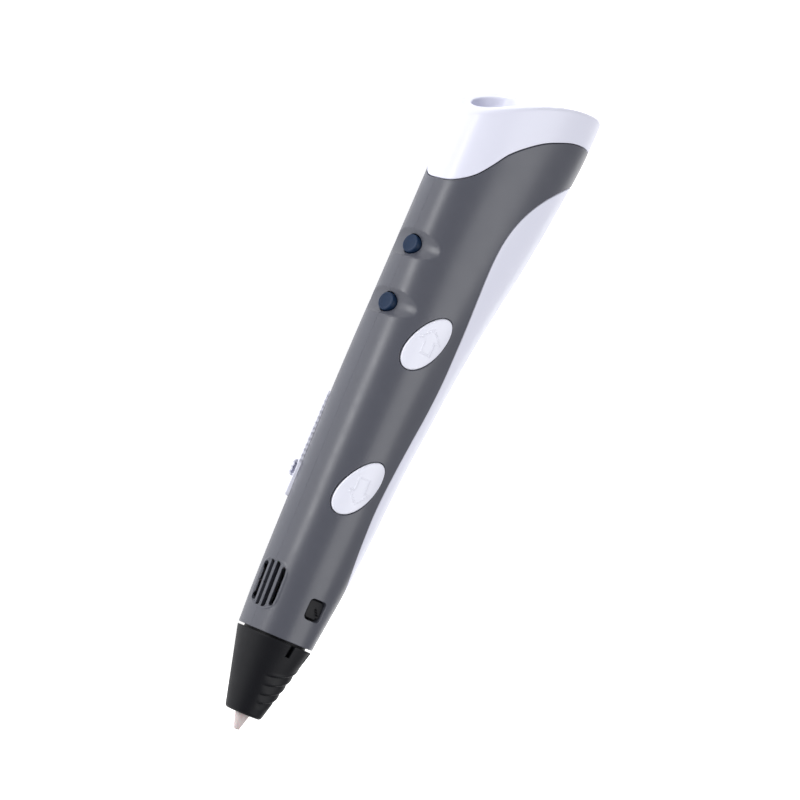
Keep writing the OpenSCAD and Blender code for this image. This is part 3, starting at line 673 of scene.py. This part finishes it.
def spine_cut(x_from, x_to, flank):
    """The spine edge of a half shell, with half-round cuts for the round buttons."""
    gap = SPINE_SEAM / 2 / 11.5 * ARC * flank
    line = []
    hole = ROUND_R + 0.18
    edges = [x_from]
    for at in SPINE_BUTTONS:
        edges += [at + hole, at - hole]
    edges.append(x_to)
    for k, (a, b) in enumerate(zip(edges, edges[1:])):
        if k % 2 == 0:
            line.append(even([[a, gap], [b, gap]], 0.4)[:-1])
            continue
        turns = np.linspace(0, math.pi, 22)[:-1]
        x = (a + b) / 2 + hole * np.cos(turns)
        z = np.maximum(hole * np.sin(turns), SPINE_SEAM / 2)
        a_turn = z / 11.5
        for _ in range(12):
            a_turn = a_turn * z / skin(np.stack([x, a_turn * ARC], 1))[:, 2]
        line.append(np.stack([x, flank * a_turn * ARC], 1))
    return np.vstack(line + [[[x_to, gap]]])


def vent_holes(flank):
    holes = []
    for angle, half in VENT_SLOTS.items():
        line = rounded_rectangle((VENT[0], 0), (half, SLOT_HALF), SLOT_HALF - 0.05, 0.25)
        # the outer end of each slot follows the vent's round outline
        line[:, 0] -= np.sign(line[:, 0] - VENT[0]) * 0.35 * np.clip(line[:, 1], 0, None)
        arc = math.radians(angle) * 10.7 + line[:, 1]
        holes.append(np.stack([line[:, 0], flank * arc / 10.7 * ARC], 1))
    return holes


def shell_rounding(loop):
    """Small rounding of a half shell's edges, and next to none where the halves meet."""
    turn = np.abs(loop[:, 1]) / ARC
    return np.where((turn < 0.02) | (turn > math.pi - 0.02), 0.03, 0.2)


def half_shell(flank):
    """One half of the grey case, edge all round and every hole in it."""
    cap = belly_crossings(shifted(spline(CAP_EDGE), -SEAM_GAP))
    panel = belly_crossings(shifted(spline(PANEL_EDGE), SEAM_GAP))
    belly = (math.pi - SPINE_SEAM / 2 / 10) * flank * ARC
    top = flank_line(cap, flank)[::-1]
    low = flank_line(panel, flank)
    limit = abs(belly)
    top[:, 1] = np.sign(flank) * np.clip(np.abs(top[:, 1]), SPINE_SEAM / 2 / 11.5 * ARC, limit)
    low[:, 1] = np.sign(flank) * np.clip(np.abs(low[:, 1]), 0, limit)
    rim = [[BODY_FRONT, SPINE_SEAM / 2 / 11.5 * ARC * flank], [BODY_FRONT, belly]]
    pieces = [
        even(rim, 0.4)[:-1],
        even([rim[1], [low[0, 0], belly]], 0.5)[:-1],
        even(low, 0.4)[:-1],
        even([[low[-1, 0], belly], [top[0, 0], belly]], 0.5)[:-1],
        even(top, 0.4)[:-1],
        spine_cut(top[-1, 0], BODY_FRONT, flank)[:-1]]
    outline = np.vstack(pieces)
    holes = vent_holes(flank)
    window = rounded_rectangle((HOOK_X, 0), (2.8, 2.85), 1.2)
    holes.append(polar_hole(flank * HOOK_ANGLE, window))
    if flank > 0:
        holes += [oval_hole(place) for place in OVALS.values()]
    else:
        middle = (SCALE_X[0] + SCALE_X[1]) / 2
        half = ((SCALE_X[1] - SCALE_X[0]) / 2 + 0.25, SCALE_HALF + 0.25)
        holes.append(polar_hole(SLIDER_ANGLE, rounded_rectangle((middle, 0), half, 0.8)))
        turns = np.linspace(0, 2 * math.pi, 26)[:-1]
        for x, y in SCREWS:
            ring_x, ring_y = x + 2.1 * np.cos(turns), y + 2.1 * np.sin(turns)
            holes.append(np.stack([ring_x, turn_at(ring_x, ring_y, -1) * ARC], 1))
    boxes = [((x - 4.6, min(0, flank * 11)), (x + 4.6, max(0, flank * 11)), 0.45) for x in SPINE_BUTTONS]
    boxes.append(((30, min(0, flank * 6)), (44.2, max(0, flank * 6)), 0.4))
    return sheet(skin, outline, holes, WALL, shell_rounding, -1, 1.5, boxes)


def belly_skin(uv):
    """Body surface with its pattern opened at the belly."""
    return skin(np.stack([uv[:, 0], uv[:, 1] + math.pi * ARC], 1))


def belly_plate():
    """White panel under the belly."""
    edge = belly_crossings(shifted(spline(PANEL_EDGE), -SEAM_GAP))
    line = flank_line(edge, 1)
    side = np.clip(math.pi * ARC - line[:, 1], 0, None)
    one = np.stack([line[:, 0], side], 1)
    outline = np.vstack([one, (one * [1, -1])[::-1][1:-1]])
    return sheet(belly_skin, even(outline, 0.45, closed=True), [], WALL, 0.3, -1, 1.6)


def end_x(y):
    """Distance of the tail face at a height."""
    face = spline([[TAIL_END - s * TAIL_RAKE, h] for s, h in TAIL_FACE], 12)
    return np.interp(y, face[::-1, 1], face[::-1, 0])


def tail_surface(uv):
    """Tail face over its (height, across) pattern."""
    return np.stack([end_x(uv[:, 0]), uv[:, 0], uv[:, 1]], -1)


def cap_edge_x(a):
    """Distance of the cap's front edge at each turn."""
    line = shifted(spline(CAP_EDGE), SEAM_GAP)
    x = np.full(len(a), 165.0)
    for _ in range(60):
        y = bare_skin(x, a)[:, 1]
        x = 0.5 * x + 0.5 * np.interp(-y, -line[:, 1], line[:, 0])
    return x


def cap_rim_x(a):
    x = np.full(len(a), 180.0)
    for _ in range(60):
        x = 0.5 * x + 0.5 * end_x(bare_skin(x, a)[:, 1])
    return x


def tube(rows, normals, solid, thick):
    """Adds a skin made of closed rows of points and its inner side."""
    count, n = len(rows), len(rows[0])
    solid.add(np.vstack(rows), strip((count, n)), np.vstack(normals))
    inner = [r - thick * m for r, m in zip(rows, normals)]
    solid.add(np.vstack(inner), [f[::-1] for f in strip((count, n))], -np.vstack(normals))
    return inner


def tail_cap():
    """White cap: side skin, rounded rim, slanted end face, filament well and power socket."""
    thick, rim_r, edge_r, lip = 1.0, 1.0, 0.3, 0.55
    count = 300
    a = np.linspace(0, 2 * math.pi, count, endpoint=False)
    start, stop = cap_edge_x(a), cap_rim_x(a)
    solid = Solid()

    def skin_row(x):
        uv = np.stack([x, a * ARC], 1)
        return skin(uv), normal_of(skin, uv, -1)

    # front edge, rounded over into the wall
    first, first_n = skin_row(start + edge_r)
    edge, edge_n = skin_row(start)
    side = (edge - first) / np.linalg.norm(edge - first, axis=1)[:, None]
    rows, normals = [edge - thick * edge_n], [side]
    for k in range(4):
        turn = math.pi / 2 * (1 - k / 4)
        rows.append(first + (edge - first) * math.sin(turn) - edge_r * (1 - math.cos(turn)) * edge_n)
        normals.append(side * math.sin(turn) + edge_n * math.cos(turn))
    # side skin
    for s in np.linspace(0, 1, 26):
        p, n = skin_row(start + edge_r + (stop - rim_r - start - edge_r) * s)
        rows.append(p)
        normals.append(n)
    # rim, a soft curve between skin and end face
    rim = tail_surface(bare_skin(stop, a)[:, 1:])
    last, last_n = skin_row(stop - rim_r)
    away = rim[:, 1:] - np.array([WELL_Y - 10, 0])
    flat = np.roll(rim, -1, 0) - np.roll(rim, 1, 0)
    inward = np.stack([-flat[:, 2], flat[:, 1]], 1)
    inward /= np.linalg.norm(inward, axis=1)[:, None]
    inward *= np.where((inward * away).sum(1) > 0, -1, 1)[:, None]
    face_uv = rim[:, 1:] + rim_r * inward
    face = tail_surface(face_uv)
    face_n = normal_of(tail_surface, face_uv, 1)
    for t in (0.25, 0.5, 0.75):
        w = 0.75
        b0, b1, b2 = (1 - t) ** 2, 2 * w * t * (1 - t), t * t
        rows.append((b0 * last + b1 * rim + b2 * face) / (b0 + b1 + b2))
        n = last_n * math.cos(t * math.pi / 2) + face_n * math.sin(t * math.pi / 2)
        normals.append(n / np.linalg.norm(n, axis=1)[:, None])
    rows.append(face)
    normals.append(face_n)
    solid.add(np.vstack(rows), strip((len(rows), count)), np.vstack(normals))
    inner_rows = [r - thick * n for r, n in zip(rows[4:], normals[4:])]
    inner_rows[0] = rows[0]
    solid.add(np.vstack(inner_rows), [f[::-1] for f in strip((len(inner_rows), count))], -np.vstack(normals[4:]))

    # end face with the well's soft lip and the socket's hole
    turns = np.linspace(0, 2 * math.pi, 72, endpoint=False)

    def circle(y, r):
        return np.stack([y + r * np.cos(turns), r * np.sin(turns)], 1)

    well, jack = circle(WELL_Y, WELL_R + lip), circle(JACK_Y, 4.2 + 0.4)
    loops = [face_uv, well, jack]
    seeds = lattice(face_uv.min(0), face_uv.max(0), 0.9)
    seeds = seeds[within(loops, seeds)]
    seeds = seeds[clear_of(loops, seeds, 0.35)]
    edges, at = [], 0
    for loop in loops:
        edges += [(at + i, at + (i + 1) % len(loop)) for i in range(len(loop))]
        at += len(loop)
    got = delaunay_2d_cdt([tuple(p) for p in np.vstack(loops + [seeds])], edges, [], 0, 1e-7)
    uv = np.array([tuple(v) for v in got[0]])
    tris = [t for t in got[2] if within(loops, uv[list(t)].mean(0)[None])[0]]
    tris = [t if area(uv[list(t)]) > 0 else t[::-1] for t in tris]
    top, top_n = tail_surface(uv), normal_of(tail_surface, uv, 1)
    solid.add(top, tris, top_n)
    solid.add(top - thick * top_n, [t[::-1] for t in tris], -top_n)

    # well: soft lip, tube and floor with the guide's hole; socket: short tube
    for centre_y, r, soft, deep, floor_r in ((WELL_Y, WELL_R, lip, WELL_FLOOR, 2.1), (JACK_Y, 4.2, 0.4, 178.2, None)):
        ring = circle(centre_y, r + soft)
        mouth, mouth_n = tail_surface(ring), normal_of(tail_surface, ring, 1)
        inner_ring = circle(centre_y, r)
        throat = tail_surface(inner_ring)
        to_axis = np.stack([0 * turns, -np.cos(turns), -np.sin(turns)], 1)
        rows, normals = [mouth], [mouth_n]
        for k in (1, 2, 3, 4):
            t = math.pi / 2 * k / 4
            drop = soft * (1 - math.cos(t))
            rows.append(mouth + (throat - mouth) * math.sin(t) - drop * np.array([1.0, 0, 0]))
            n = mouth_n * math.cos(t) + to_axis * math.sin(t)
            normals.append(n / np.linalg.norm(n, axis=1)[:, None])
        bottom = rows[-1].copy()
        bottom[:, 0] = deep
        rows.append(bottom)
        normals.append(to_axis)
        faces = strip((len(rows), len(turns)))
        solid.add(np.vstack(rows), faces, np.vstack(normals))
        outer = [r_ - thick * n for r_, n in zip(rows, normals)]
        if floor_r is None:
            outer[-1][:, 0] = deep
            solid.add(np.vstack(outer), [f[::-1] for f in faces])
            solid.add(np.vstack([rows[-1], outer[-1]]), strip((2, len(turns))))
        else:
            outer[-1][:, 0] = deep - thick
            solid.add(np.vstack(outer), [f[::-1] for f in faces])
            hole = circle(centre_y, floor_r)
            hole = np.stack([np.full(len(turns), deep), hole[:, 0], hole[:, 1]], 1)
            under = hole - [thick, 0, 0]
            solid.add(np.vstack([rows[-1], hole, under, outer[-1]]), strip((4, len(turns))))
    return solid


# ---- nose

def groove(x, a):
    """How far the grip's curved steps cut into the nose cone, at distance x and turn a from the spine."""
    lift = np.zeros_like(x)
    degrees = np.degrees(np.abs(a))
    for k, (front, first) in enumerate(((8.2, 62), (10.5, 57), (13.1, 55), (15.5, 50))):
        line = front + 0.75 * ((degrees - first) / 40) ** 2
        reach = smooth_step((degrees - first) / 25) * (1 - smooth_step((degrees - 140) / 14))
        d = x - line
        cut = np.where(d < 0, np.clip(1 + d / 1.7, 0, 1) ** 1.4, np.clip(1 - d / 0.28, 0, 1))
        crest = np.exp(-((d - 0.55) / 0.4) ** 2)
        lift += reach * (0.14 * crest - 0.6 * cut)
    return lift


def nose_cone():
    """Black cone: stepped grip, notches in its rim, skirt inside the body and two latch hooks."""
    slope = (CONE_R[1] - CONE_R[0]) / (CONE_X[1] - CONE_X[0])
    xs = np.unique(np.concatenate([CONE_X[0] + np.array([0, 0.06, 0.2, 0.42, 0.7]), np.linspace(5.2, 20.1, 100),
                                   np.array([20.6, 21.2, 21.65, 21.75, 21.85, 22.3, 23, 23.7, 24.3, 24.6]),
                                   CONE_X[1] - np.array([0.15, 0.05, 0])]))
    notches = [math.radians(d) for d in (74, 124, -74, -124)]
    half = 0.6 / 9.6
    a = [np.linspace(0, 2 * math.pi, 221)[:-1]]
    for n in notches:
        a.append((n + np.array([-1.15, -1, -0.85, 0.85, 1, 1.15]) * half) % (2 * math.pi))
    a = np.unique(np.round(np.concatenate(a), 6))
    wrapped = np.where(a > math.pi, a - 2 * math.pi, a)
    rows = []
    for x in xs:
        r = CONE_R[0] + slope * (x - CONE_X[0])
        front = max(0.0, 0.7 - (x - CONE_X[0]))
        r -= 0.55 * (1 - math.sqrt(max(0.0, 1 - (front / 0.7) ** 2)))
        back = max(0.0, 0.3 - (CONE_X[1] - x))
        r -= 0.2 * (1 - math.sqrt(max(0.0, 1 - (back / 0.31) ** 2)))
        ring = r + groove(np.full(len(a), x), wrapped)
        for n in notches:
            off = np.abs(wrapped - n) / half
            deep = np.clip((1.08 - off) / 0.16, 0, 1) * np.clip((x - 21.65) / 0.12, 0, 1)
            ring = ring - 1.3 * deep
        rows.append(np.stack([np.full(len(a), x), ring * np.cos(a), ring * np.sin(a)], 1))
    # back face, skirt, hollow inside and front hole
    for r, x in ((8.4, CONE_X[1]), (8.4, 32.6), (8.1, 33), (7.2, 33), (7, 32.8), (7, 23), (4, 6.3), (2.3, 6.3),
                 (2.2, 6.2), (2.2, 4.45), (2.35, CONE_X[0])):
        rows.append(np.stack([np.full(len(a), x), r * np.cos(a), r * np.sin(a)], 1))
    rows.append(rows[0])
    solids = [Solid().add(np.vstack(rows), strip((len(rows), len(a))))]
    for side in (-1, 1):
        angle = side * HOOK_ANGLE

        def place(p, angle=angle):
            return np.stack([p[:, 0], 0 * p[:, 0], 0 * p[:, 0]], 1) + p[:, 1:2] * sideways(angle) + p[:, 2:] * radial(angle)

        solids.append(rounded_box((30, -3, 7.1), (38.4, 3, 8.2), 0.3, place))
        hook = rounded_rectangle((HOOK_X + 0.1, 0), (2.45, 2.55), 1.1, 0.25)
        notch = np.array([[HOOK_X - 1.9, -1.5], [HOOK_X + 0.4, 0.3], [HOOK_X + 1.1, -0.5], [HOOK_X - 0.9, -2.2]])

        def face(uv, angle=angle, side=side):
            top = 9.85 - 0.03 * (uv[:, 1] ** 2) - 0.12 * (uv[:, 0] - HOOK_X) ** 2 / 5
            across = uv[:, 1]
            along, off = uv[:, 0] - HOOK_X, across
            u = (along + off * 0.2) * 0.75 + off * 0.66
            v = -(along + 0.6) * 0.66 + (off + 0.9) * 0.75
            top = top - 0.7 * smooth_step((0.42 - np.abs(v)) / 0.15) * smooth_step((0.3 - u) / 0.2)
            return (np.stack([uv[:, 0], 0 * top, 0 * top], 1) + (across * 1.0)[:, None] * sideways(angle)
                    + top[:, None] * radial(angle))

        solids.append(sheet(face, hook, [], 2.0, 0.3, 1, 0.3))
    return solids


def nozzle():
    """Pale ceramic tip with a rounded end and a shoulder inside the cone."""
    return lathe([(0.35, 0.0), (0.6, 0.0), (0.72, 0.05), (0.8, 0.18), (1.93, 4.2), (1.95, 6.6), (2.6, 7), (2.6, 10),
                  (1, 10), (1, 2.6), (0.35, 1.4)], 72)


# ---- buttons and slider

def arrow_outline(way):
    """Block arrow drawn on an oval button, pointing along way."""
    arrow = np.array([[4.0, 0], [0.9, 3.1], [0.9, 1.5], [-2.7, 1.5], [-2.7, -1.5], [0.9, -1.5], [0.9, -3.1]])
    return arrow * [way, 1]


def line_distance(points, outline):
    """Distance of each point to a closed outline."""
    best = np.full(len(points), 1e9)
    for a, b in zip(outline, np.roll(outline, -1, 0)):
        d = b - a
        t = np.clip(((points - a) @ d) / (d @ d), 0, 1)
        best = np.minimum(best, np.linalg.norm(points - a - t[:, None] * d, axis=1))
    return best


def oval_button(place):
    """White oval: domed top with a raised arrow outline, flange and stem below."""
    centre, along, across, out = oval_frame(place)
    arrow = arrow_outline(place[2])

    def over(lift):
        def surface(uv):
            start = centre + uv[:, :1] * along + uv[:, 1:] * across
            depth = pierce(start, out, -6, 4)[1]
            return start + (depth + lift(uv))[:, None] * out
        return surface

    def dome(uv):
        c, s = math.cos(OVAL_TILT), math.sin(OVAL_TILT)
        u, v = c * uv[:, 0] - s * uv[:, 1], s * uv[:, 0] + c * uv[:, 1]
        r = (u / OVAL_HALF[0]) ** 2 + (v / OVAL_HALF[1]) ** 2
        mark = smooth_step(1 - (line_distance(uv, arrow) - 0.12) / 0.14)
        return 0.33 + 0.16 * (1 - np.clip(r, 0, 1)) + 0.17 * mark

    top = sheet(over(dome), oval_outline(0, 0.3), [], 2.2, 0.45, 1, 0.26, steps=4)
    flange = sheet(over(lambda uv: -1.9 + 0 * uv[:, 0]), oval_outline(0.9, 0.6), [], 0.8, 0.1, 1, 1.5, steps=1)
    stem = lathe([(0, -7), (1.2, -7), (1.3, -6.9), (1.3, -2), (0, -2)], 32)
    p, f, _ = stem.welded()
    p = centre + p[:, 1:2] * along + p[:, 2:] * across + p[:, :1] * out
    return [top, flange, Solid().add(p, f)]


def round_button(x):
    """Navy cap with a soft edge and a very shallow dish."""
    top, r = DISH_Y + 0.95, ROUND_R
    base = DISH_Y - 2.7
    profile = [(0, base), (r + 0.8, base), (r + 0.8, base + 0.6), (r, base + 0.6), (r, top - 0.35),
               (r - 0.1, top - 0.12), (r - 0.28, top - 0.02), (r - 0.4, top), (r - 0.6, top - 0.06),
               (r - 0.85, top - 0.16), (r * 0.5, top - 0.22), (0, top - 0.25)]
    return lathe(profile, 64, "y", (x, 0, 0))


def on_slider(height):
    def surface(uv):
        h = height(uv)
        flat = np.stack([uv[:, 0], 0 * h, 0 * h], 1)
        return flat + uv[:, 1:] * sideways(SLIDER_ANGLE) + h[:, None] * radial(SLIDER_ANGLE)
    return surface


def speed_scale():
    """White plate with a row of round ridges and the knob's slot."""
    middle, half = (SCALE_X[0] + SCALE_X[1]) / 2, (SCALE_X[1] - SCALE_X[0]) / 2

    def height(uv):
        phase = (uv[:, 0] - SCALE_X[0] - 9.5) / 1.5
        bar = np.where((phase > -0.5) & (phase < 12.5), np.cos(np.pi * (phase - np.round(phase))) ** 4, 0)
        edge = smooth_step((SCALE_HALF - 0.15 - np.abs(uv[:, 1])) / 0.25)
        return 11.85 - 0.02 * uv[:, 1] ** 2 + 0.4 * bar * edge

    outline = rounded_rectangle((middle, 0), (half, SCALE_HALF), 0.7, 0.4)
    slot = rounded_rectangle((75.15, 0), (11.65, 0.9), 0.5, 0.4)
    plate = sheet(on_slider(height), outline, [slot], 3.2, 0.25, 1, 0.3, steps=2)
    lip = sheet(on_slider(lambda uv: 8.6 + 0 * uv[:, 0]),
                rounded_rectangle((middle, 0), (half + 1, SCALE_HALF + 1.2), 0.8, 0.8), [slot], 0.7, 0.1, 1, 2.5, steps=1)
    return [plate, lip]


def speed_knob():
    """Sliding knob with three finger ribs, and its stem through the slot."""
    low, high = pen_box("speed_knob")
    at = float(low[0] + high[0]) / 2

    def height(uv):
        rib = sum(np.exp(-((uv[:, 0] - at - k) / 0.3) ** 2) for k in (-1.3, 0, 1.3))
        return 12.82 - 0.01 * uv[:, 1] ** 2 + 0.35 * rib

    cap = sheet(on_slider(height), rounded_rectangle((at, 0), (2.2, 2.4), 0.6, 0.3), [], 0.4, 0.15, 1, 0.25, steps=2)

    def place(p):
        return np.stack([p[:, 0], 0 * p[:, 0], 0 * p[:, 0]], 1) + p[:, 1:2] * sideways(SLIDER_ANGLE) + p[:, 2:] * radial(SLIDER_ANGLE)

    return [cap, rounded_box((at - 1.5, -0.6, 7.2), (at + 1.38, 0.6, 12.6), 0.15, place)]


# ---- studio

def light(name, at, towards, size, power, colour=(1, 1, 1)):
    """Soft area light; places in pen millimetres."""
    data = bpy.data.lights.new(name, "AREA")
    data.shape = "RECTANGLE"
    data.size, data.size_y = size[0] * MM, size[1] * MM
    data.energy = power
    data.color = colour
    lamp = bpy.data.objects.new(name, data)
    bpy.context.scene.collection.objects.link(lamp)
    lamp.matrix_world = facing(at, towards)
    return lamp


def facing(at, towards, side=(1, 0, 0)):
    """Matrix of something at a place that looks at another, its X along side."""
    at, towards = ORIGIN + np.array(at) * MM, ORIGIN + np.array(towards) * MM
    back = at - towards
    back /= np.linalg.norm(back)
    right = np.array(side) - np.dot(side, back) * back
    right /= np.linalg.norm(right)
    up = np.cross(back, right)
    m = Matrix.Identity(4)
    for k in range(3):
        m[k][0], m[k][1], m[k][2], m[k][3] = right[k], up[k], back[k], at[k]
    return m


def studio():
    scene = bpy.context.scene
    scene.view_settings.view_transform = "Standard"
    world = bpy.data.worlds.new("studio")
    world.use_nodes = True
    sky = next(n for n in world.node_tree.nodes if n.type == "BACKGROUND")
    sky.inputs["Color"].default_value = (1, 1, 1, 1)
    sky.inputs["Strength"].default_value = 0.23
    scene.world = world
    middle = (92, -5, 0)
    light("spine_strip", (150, 480, 20), (110, 0, 0), (300, 120), 1.2)
    light("top_fill", (90, -130, 440), middle, (600, 420), 1.9)

    mesh = bpy.data.meshes.new("floor")
    reach, z = 3.0, FLOOR_Z - 0.0003
    mesh.from_pydata([(-reach, -reach, z), (reach, -reach, z), (reach, reach, z), (-reach, reach, z)], [], [(0, 1, 2, 3)])
    floor = bpy.data.objects.new("floor", mesh)
    scene.collection.objects.link(floor)
    material, tree, shader, where = nodes_for("floor")
    tree.links.new(tint(tree, noise(tree, where, 3), (0.9, 0.9, 0.9), 0.01), shader.inputs["Base Color"])
    shader.inputs["Roughness"].default_value = 0.9
    shader.inputs["Emission Color"].default_value = (1, 1, 1, 1)
    shader.inputs["Emission Strength"].default_value = 0.86
    mesh.materials.append(material)


def camera():
    """Portrait of the pen from above its button flank, nozzle down and tail up to the right."""
    data = bpy.data.cameras.new("camera")
    data.sensor_width = 36
    data.lens = 120.9
    data.clip_start, data.clip_end = 0.05, 20
    cam = bpy.data.objects.new("camera", data)
    bpy.context.scene.collection.objects.link(cam)
    back = np.array([-0.090633, 0.740086, 0.666376])
    back /= np.linalg.norm(back)
    along = np.array([0.995884, 0.067354, 0.060646])
    across = np.cross(along, back)
    across *= np.sign(across[2])
    roll = 0.3992
    right = math.sin(roll) * along + math.cos(roll) * across
    up = np.cross(back, right)
    at = ORIGIN + (np.array([93.434, -3.963, 4.402]) + 690 * back) * MM
    m = Matrix.Identity(4)
    for k in range(3):
        m[k][0], m[k][1], m[k][2], m[k][3] = right[k], up[k], back[k], at[k]
    cam.matrix_world = m
    bpy.context.scene.camera = cam


# ---- all together

materials = make_materials()
finish_cad_nodes(materials)
build("case_button_side", [half_shell(1)], materials["grey_shell"], "casing", ["shell_button_side"])
build("case_slider_side", [half_shell(-1)], materials["grey_shell"], "casing", ["shell_slider_side"])
build("white_cap", [tail_cap()], materials["white_gloss"], "casing", ["tail_cap"])
build("white_belly", [belly_plate()], materials["white_gloss"], "casing", ["belly_panel"])
build("cone", nose_cone(), materials["black_cone"], "casing", ["nose_cone"])
build("tip", [nozzle()], materials["ceramic"], "casing", ["nozzle"])
for node, place in OVALS.items():
    build(node + "_cap", oval_button(place), materials["white_button"], node, [node])
for node, x in zip(("material_button", "power_button"), SPINE_BUTTONS):
    build(node + "_cap", [round_button(x)], materials["navy_button"], node, [node])
build("slider_scale", speed_scale(), materials["white_button"], "casing", ["speed_scale"])
build("slider_knob", speed_knob(), materials["white_button"], "speed_knob", ["speed_knob"])
studio()
camera()
